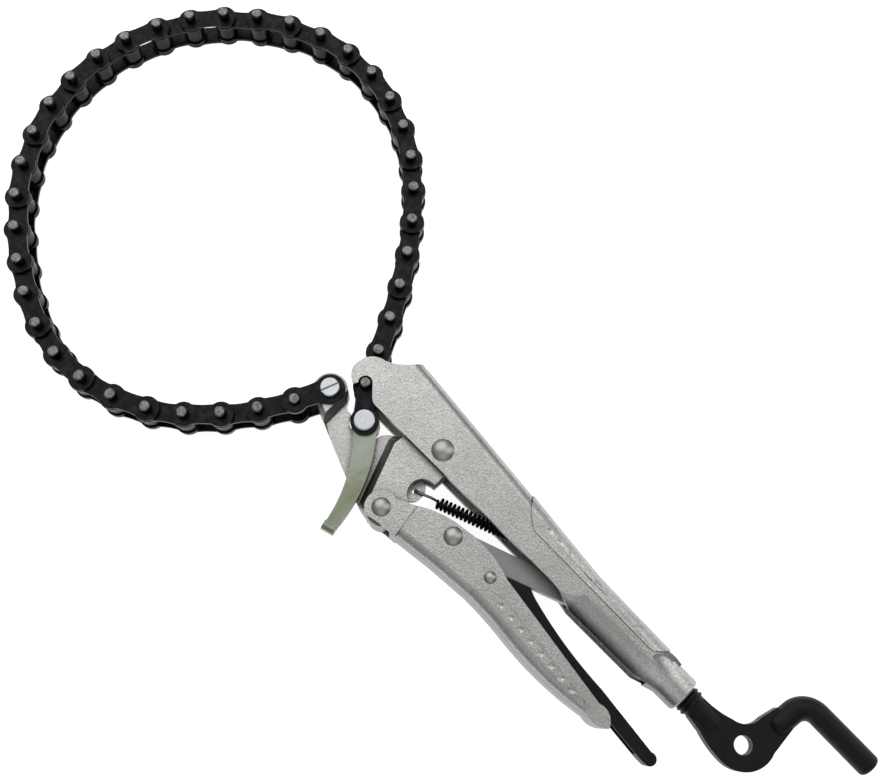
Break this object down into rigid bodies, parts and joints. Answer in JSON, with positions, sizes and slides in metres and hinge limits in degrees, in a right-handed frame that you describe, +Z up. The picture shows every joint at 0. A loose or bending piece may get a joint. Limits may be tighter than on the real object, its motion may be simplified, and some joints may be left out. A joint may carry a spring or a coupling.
{
  "type": "locking chain clamp",
  "caption": "Locking pliers whose jaws are joined by a long roller chain loop, for gripping and turning pipes, filters and other round work.",
  "frame": {"origin": "centre of the base of the whole tool as it lies flat, below the middle of its outline box", "axes": "+X runs along the adjusting screw, from the chain loop towards the crank end; +Z is up through the thickness, along every pivot; +Y is towards the fixed handle"},
  "size_m": [0.3704, 0.1628, 0.0206],
  "materials": {
    "nickel_steel": "satin nickel plate on pressed steel",
    "toggle_steel": "dull grey plated steel",
    "black_steel": "satin black oxide steel",
    "chain_black": "oiled black oxide steel",
    "spring_black": "black oiled spring steel",
    "zinc_steel": "bright zinc plate",
    "chromate_steel": "zinc plate with a greenish passivation"
  },
  "bodies": {
    "handle": {"fixed_handle": "nickel_steel", "main_rivet": "zinc_steel"},
    "jaw": {"jaw": "nickel_steel", "lever_rivet": "nickel_steel", "chain_anchor_screw": "zinc_steel", "chain_anchor_nut": "zinc_steel", "return_spring": "spring_black"},
    "lever": {"lever_handle": "nickel_steel", "toggle_rivet": "nickel_steel", "release_rivet": "nickel_steel"},
    "toggle": {"toggle_link": "toggle_steel"},
    "release": {"release_lever": "black_steel"},
    "screw": {"adjusting_screw": "black_steel"},
    "end_link": {"chain_end_link": "chain_black"},
    "link_01": {"chain_link_01": "chain_black"},
    "link_02": {"chain_link_02": "chain_black"},
    "link_03": {"chain_link_03": "chain_black"},
    "link_04": {"chain_link_04": "chain_black"},
    "link_05": {"chain_link_05": "chain_black"},
    "link_06": {"chain_link_06": "chain_black"},
    "link_07": {"chain_link_07": "chain_black"},
    "link_08": {"chain_link_08": "chain_black"},
    "link_09": {"chain_link_09": "chain_black"},
    "link_10": {"chain_link_10": "chain_black"},
    "link_11": {"chain_link_11": "chain_black"},
    "link_12": {"chain_link_12": "chain_black"},
    "link_13": {"chain_link_13": "chain_black"},
    "link_14": {"chain_link_14": "chain_black"},
    "link_15": {"chain_link_15": "chain_black"},
    "link_16": {"chain_link_16": "chain_black"},
    "link_17": {"chain_link_17": "chain_black"},
    "link_18": {"chain_link_18": "chain_black"},
    "link_19": {"chain_link_19": "chain_black"},
    "link_20": {"chain_link_20": "chain_black"},
    "link_21": {"chain_link_21": "chain_black"},
    "link_22": {"chain_link_22": "chain_black"},
    "link_23": {"chain_link_23": "chain_black"},
    "link_24": {"chain_link_24": "chain_black"},
    "link_25": {"chain_link_25": "chain_black"},
    "link_26": {"chain_link_26": "chain_black"},
    "link_27": {"chain_link_27": "chain_black"},
    "link_28": {"chain_link_28": "chain_black"},
    "link_29": {"chain_link_29": "chain_black"},
    "link_30": {"chain_link_30": "chain_black"},
    "link_31": {"chain_link_31": "chain_black"},
    "link_32": {"chain_link_32": "chain_black"},
    "link_33": {"chain_link_33": "chain_black"},
    "link_34": {"chain_link_34": "chain_black"},
    "link_35": {"chain_link_35": "chain_black"},
    "link_36": {"chain_link_36": "chain_black"},
    "tail": {"tail_link": "chain_black", "tail_rivet": "zinc_steel"},
    "tail_lever": {"tail_lever": "chromate_steel"}
  },
  "joints": [
    {"name": "jaw_pivot", "type": "hinge", "parent": "handle", "child": "jaw", "pos_m": [0.01658, -0.00621, 0.0103], "axis": [0, 0, 1], "range_deg": [0, 16], "deforming": ["return_spring"]},
    {"name": "lever_pivot", "type": "hinge", "parent": "jaw", "child": "lever", "pos_m": [0.01598, -0.03431, 0.0103], "axis": [0, 0, 1], "range_deg": [-55.66, 0]},
    {"name": "toggle_pivot", "type": "hinge", "parent": "lever", "child": "toggle", "pos_m": [0.03948, -0.02411, 0.0103], "axis": [0, 0, 1], "range_deg": [0, 64.61]},
    {"name": "release_pivot", "type": "hinge", "parent": "lever", "child": "release", "pos_m": [0.05748, -0.02501, 0.0103], "axis": [0, 0, 1], "range_deg": [-0.4, 0.8]},
    {"name": "screw_turn", "type": "hinge", "parent": "handle", "child": "screw", "pos_m": [0.11658, -0.00621, 0.0103], "axis": [1, 0, 0], "continuous": true},
    {"name": "chain_end_hinge", "type": "hinge", "parent": "jaw", "child": "end_link", "pos_m": [-0.02592, -0.01821, 0.0103], "axis": [0, 0, 1], "range_deg": [-4.23, 4.23]},
    {"name": "link_01_hinge", "type": "hinge", "parent": "end_link", "child": "link_01", "pos_m": [-0.0314, -0.02967, 0.0103], "axis": [0, 0, 1], "range_deg": [-6.81, 6.81]},
    {"name": "link_02_hinge", "type": "hinge", "parent": "link_01", "child": "link_02", "pos_m": [-0.03793, -0.04056, 0.0103], "axis": [0, 0, 1], "range_deg": [-2.49, 0]},
    {"name": "link_03_hinge", "type": "hinge", "parent": "link_02", "child": "link_03", "pos_m": [-0.04553, -0.05074, 0.0103], "axis": [0, 0, 1], "range_deg": [-1.85, 1.85]},
    {"name": "link_04_hinge", "type": "hinge", "parent": "link_03", "child": "link_04", "pos_m": [-0.05437, -0.05985, 0.0103], "axis": [0, 0, 1], "range_deg": [-3.5, 0]},
    {"name": "link_05_hinge", "type": "hinge", "parent": "link_04", "child": "link_05", "pos_m": [-0.06457, -0.06742, 0.0103], "axis": [0, 0, 1], "range_deg": [-4.14, 4.14]},
    {"name": "link_06_hinge", "type": "hinge", "parent": "link_05", "child": "link_06", "pos_m": [-0.07599, -0.07297, 0.0103], "axis": [0, 0, 1], "range_deg": [-4.76, 0]},
    {"name": "link_07_hinge", "type": "hinge", "parent": "link_06", "child": "link_07", "pos_m": [-0.08827, -0.07624, 0.0103], "axis": [0, 0, 1], "range_deg": [-7.12, 7.12]},
    {"name": "link_08_hinge", "type": "hinge", "parent": "link_07", "child": "link_08", "pos_m": [-0.10095, -0.0769, 0.0103], "axis": [0, 0, 1], "range_deg": [-3.73, 0]},
    {"name": "link_09_hinge", "type": "hinge", "parent": "link_08", "child": "link_09", "pos_m": [-0.11346, -0.07473, 0.0103], "axis": [0, 0, 1], "range_deg": [-5.39, 5.39]},
    {"name": "link_10_hinge", "type": "hinge", "parent": "link_09", "child": "link_10", "pos_m": [-0.12536, -0.07029, 0.0103], "axis": [0, 0, 1], "range_deg": [-0.001, 0.817]},
    {"name": "link_11_hinge", "type": "hinge", "parent": "link_10", "child": "link_11", "pos_m": [-0.13658, -0.06433, 0.0103], "axis": [0, 0, 1], "range_deg": [-3.46, 3.46]},
    {"name": "link_12_hinge", "type": "hinge", "parent": "link_11", "child": "link_12", "pos_m": [-0.14715, -0.0573, 0.0103], "axis": [0, 0, 1], "range_deg": [0, 3.59]},
    {"name": "link_13_hinge", "type": "hinge", "parent": "link_12", "child": "link_13", "pos_m": [-0.15687, -0.04912, 0.0103], "axis": [0, 0, 1], "range_deg": [-0.97, 0.97]},
    {"name": "link_14_hinge", "type": "hinge", "parent": "link_13", "child": "link_14", "pos_m": [-0.16533, -0.03965, 0.0103], "axis": [0, 0, 1], "range_deg": [0, 4.82]},
    {"name": "link_15_hinge", "type": "hinge", "parent": "link_14", "child": "link_15", "pos_m": [-0.17214, -0.02893, 0.0103], "axis": [0, 0, 1], "range_deg": [-3, 3]},
    {"name": "link_16_hinge", "type": "hinge", "parent": "link_15", "child": "link_16", "pos_m": [-0.1771, -0.01724, 0.0103], "axis": [0, 0, 1], "range_deg": [0, 2.82]},
    {"name": "link_17_hinge", "type": "hinge", "parent": "link_16", "child": "link_17", "pos_m": [-0.18003, -0.00488, 0.0103], "axis": [0, 0, 1], "range_deg": [-6.39, 6.39]},
    {"name": "link_18_hinge", "type": "hinge", "parent": "link_17", "child": "link_18", "pos_m": [-0.18075, 0.0078, 0.0103], "axis": [0, 0, 1], "range_deg": [-0.817, 0.001]},
    {"name": "link_19_hinge", "type": "hinge", "parent": "link_18", "child": "link_19", "pos_m": [-0.17925, 0.02041, 0.0103], "axis": [0, 0, 1], "range_deg": [-7.02, 7.02]},
    {"name": "link_20_hinge", "type": "hinge", "parent": "link_19", "child": "link_20", "pos_m": [-0.17553, 0.03255, 0.0103], "axis": [0, 0, 1], "range_deg": [-1.23, 0]},
    {"name": "link_21_hinge", "type": "hinge", "parent": "link_20", "child": "link_21", "pos_m": [-0.16968, 0.04383, 0.0103], "axis": [0, 0, 1], "range_deg": [-3.91, 3.91]},
    {"name": "link_22_hinge", "type": "hinge", "parent": "link_21", "child": "link_22", "pos_m": [-0.16195, 0.0539, 0.0103], "axis": [0, 0, 1], "range_deg": [-0.001, 0.817]},
    {"name": "link_23_hinge", "type": "hinge", "parent": "link_22", "child": "link_23", "pos_m": [-0.15262, 0.06251, 0.0103], "axis": [0, 0, 1], "range_deg": [-0.97, 0.97]},
    {"name": "link_24_hinge", "type": "hinge", "parent": "link_23", "child": "link_24", "pos_m": [-0.14196, 0.06941, 0.0103], "axis": [0, 0, 1], "range_deg": [0, 1.46]},
    {"name": "link_25_hinge", "type": "hinge", "parent": "link_24", "child": "link_25", "pos_m": [-0.13024, 0.07433, 0.0103], "axis": [0, 0, 1], "range_deg": [-5.57, 5.57]},
    {"name": "link_26_hinge", "type": "hinge", "parent": "link_25", "child": "link_26", "pos_m": [-0.11781, 0.0769, 0.0103], "axis": [0, 0, 1], "range_deg": [-0.001, 0.817]},
    {"name": "link_27_hinge", "type": "hinge", "parent": "link_26", "child": "link_27", "pos_m": [-0.10511, 0.07686, 0.0103], "axis": [0, 0, 1], "range_deg": [-7.24, 7.24]},
    {"name": "link_28_hinge", "type": "hinge", "parent": "link_27", "child": "link_28", "pos_m": [-0.09265, 0.07438, 0.0103], "axis": [0, 0, 1], "range_deg": [-1.85, 0]},
    {"name": "link_29_hinge", "type": "hinge", "parent": "link_28", "child": "link_29", "pos_m": [-0.08084, 0.06972, 0.0103], "axis": [0, 0, 1], "range_deg": [-5.19, 5.19]},
    {"name": "link_30_hinge", "type": "hinge", "parent": "link_29", "child": "link_30", "pos_m": [-0.06999, 0.06312, 0.0103], "axis": [0, 0, 1], "range_deg": [-2.77, 0]},
    {"name": "link_31_hinge", "type": "hinge", "parent": "link_30", "child": "link_31", "pos_m": [-0.06024, 0.05498, 0.0103], "axis": [0, 0, 1], "range_deg": [-1.5, 1.5]},
    {"name": "link_32_hinge", "type": "hinge", "parent": "link_31", "child": "link_32", "pos_m": [-0.05151, 0.04575, 0.0103], "axis": [0, 0, 1], "range_deg": [-2.47, 0]},
    {"name": "link_33_hinge", "type": "hinge", "parent": "link_32", "child": "link_33", "pos_m": [-0.04367, 0.03576, 0.0103], "axis": [0, 0, 1], "range_deg": [-2.19, 2.19]},
    {"name": "link_34_hinge", "type": "hinge", "parent": "link_33", "child": "link_34", "pos_m": [-0.03661, 0.02521, 0.0103], "axis": [0, 0, 1], "range_deg": [-2.53, 0]},
    {"name": "link_35_hinge", "type": "hinge", "parent": "link_34", "child": "link_35", "pos_m": [-0.0302, 0.01425, 0.0103], "axis": [0, 0, 1], "range_deg": [-5.9, 5.9]},
    {"name": "link_36_hinge", "type": "hinge", "parent": "link_35", "child": "link_36", "pos_m": [-0.02429, 0.003, 0.0103], "axis": [0, 0, 1], "range_deg": [-5.08, 0]},
    {"name": "tail_hinge", "type": "hinge", "parent": "link_36", "child": "tail", "pos_m": [-0.01872, -0.00841, 0.0103], "axis": [0, 0, 1], "range_deg": [-2, 1.2]},
    {"name": "tail_lever_hinge", "type": "hinge", "parent": "tail", "child": "tail_lever", "pos_m": [-0.00982, -0.01746, 0.0103], "axis": [0, 0, 1], "range_deg": [-3, 1.8]}
  ],
  "couplings": [
    {"joint": "lever_pivot", "follows": "jaw_pivot", "ratio": -3.479},
    {"joint": "toggle_pivot", "follows": "jaw_pivot", "ratio": 4.038},
    {"joint": "chain_end_hinge", "follows": "link_01_hinge", "ratio": 0.60819},
    {"joint": "link_02_hinge", "follows": "jaw_pivot", "ratio": -0.15265},
    {"joint": "link_03_hinge", "follows": "link_01_hinge", "ratio": 0.26551},
    {"joint": "link_04_hinge", "follows": "jaw_pivot", "ratio": -0.21424},
    {"joint": "link_05_hinge", "follows": "link_01_hinge", "ratio": -0.59581},
    {"joint": "link_06_hinge", "follows": "jaw_pivot", "ratio": -0.29172},
    {"joint": "link_07_hinge", "follows": "link_01_hinge", "ratio": -1.0242},
    {"joint": "link_08_hinge", "follows": "jaw_pivot", "ratio": -0.22868},
    {"joint": "link_09_hinge", "follows": "link_01_hinge", "ratio": -0.77515},
    {"joint": "link_10_hinge", "follows": "jaw_pivot", "ratio": 0.049999},
    {"joint": "link_11_hinge", "follows": "link_01_hinge", "ratio": -0.49804},
    {"joint": "link_12_hinge", "follows": "jaw_pivot", "ratio": 0.22004},
    {"joint": "link_13_hinge", "follows": "link_01_hinge", "ratio": -0.13958},
    {"joint": "link_14_hinge", "follows": "jaw_pivot", "ratio": 0.29527},
    {"joint": "link_15_hinge", "follows": "link_01_hinge", "ratio": 0.43162},
    {"joint": "link_16_hinge", "follows": "jaw_pivot", "ratio": 0.17292},
    {"joint": "link_17_hinge", "follows": "link_01_hinge", "ratio": 0.92003},
    {"joint": "link_18_hinge", "follows": "jaw_pivot", "ratio": -0.05},
    {"joint": "link_19_hinge", "follows": "link_01_hinge", "ratio": 1.0099},
    {"joint": "link_20_hinge", "follows": "jaw_pivot", "ratio": -0.075453},
    {"joint": "link_21_hinge", "follows": "link_01_hinge", "ratio": 0.56228},
    {"joint": "link_22_hinge", "follows": "jaw_pivot", "ratio": 0.05},
    {"joint": "link_23_hinge", "follows": "link_01_hinge", "ratio": -0.13913},
    {"joint": "link_24_hinge", "follows": "jaw_pivot", "ratio": 0.089146},
    {"joint": "link_25_hinge", "follows": "link_01_hinge", "ratio": -0.80177},
    {"joint": "link_26_hinge", "follows": "jaw_pivot", "ratio": 0.049999},
    {"joint": "link_27_hinge", "follows": "link_01_hinge", "ratio": -1.0416},
    {"joint": "link_28_hinge", "follows": "jaw_pivot", "ratio": -0.11312},
    {"joint": "link_29_hinge", "follows": "link_01_hinge", "ratio": -0.74692},
    {"joint": "link_30_hinge", "follows": "jaw_pivot", "ratio": -0.16993},
    {"joint": "link_31_hinge", "follows": "link_01_hinge", "ratio": -0.2165},
    {"joint": "link_32_hinge", "follows": "jaw_pivot", "ratio": -0.15131},
    {"joint": "link_33_hinge", "follows": "link_01_hinge", "ratio": 0.31555},
    {"joint": "link_34_hinge", "follows": "jaw_pivot", "ratio": -0.15513},
    {"joint": "link_35_hinge", "follows": "link_01_hinge", "ratio": 0.84892},
    {"joint": "link_36_hinge", "follows": "jaw_pivot", "ratio": -0.31125}
  ]
}
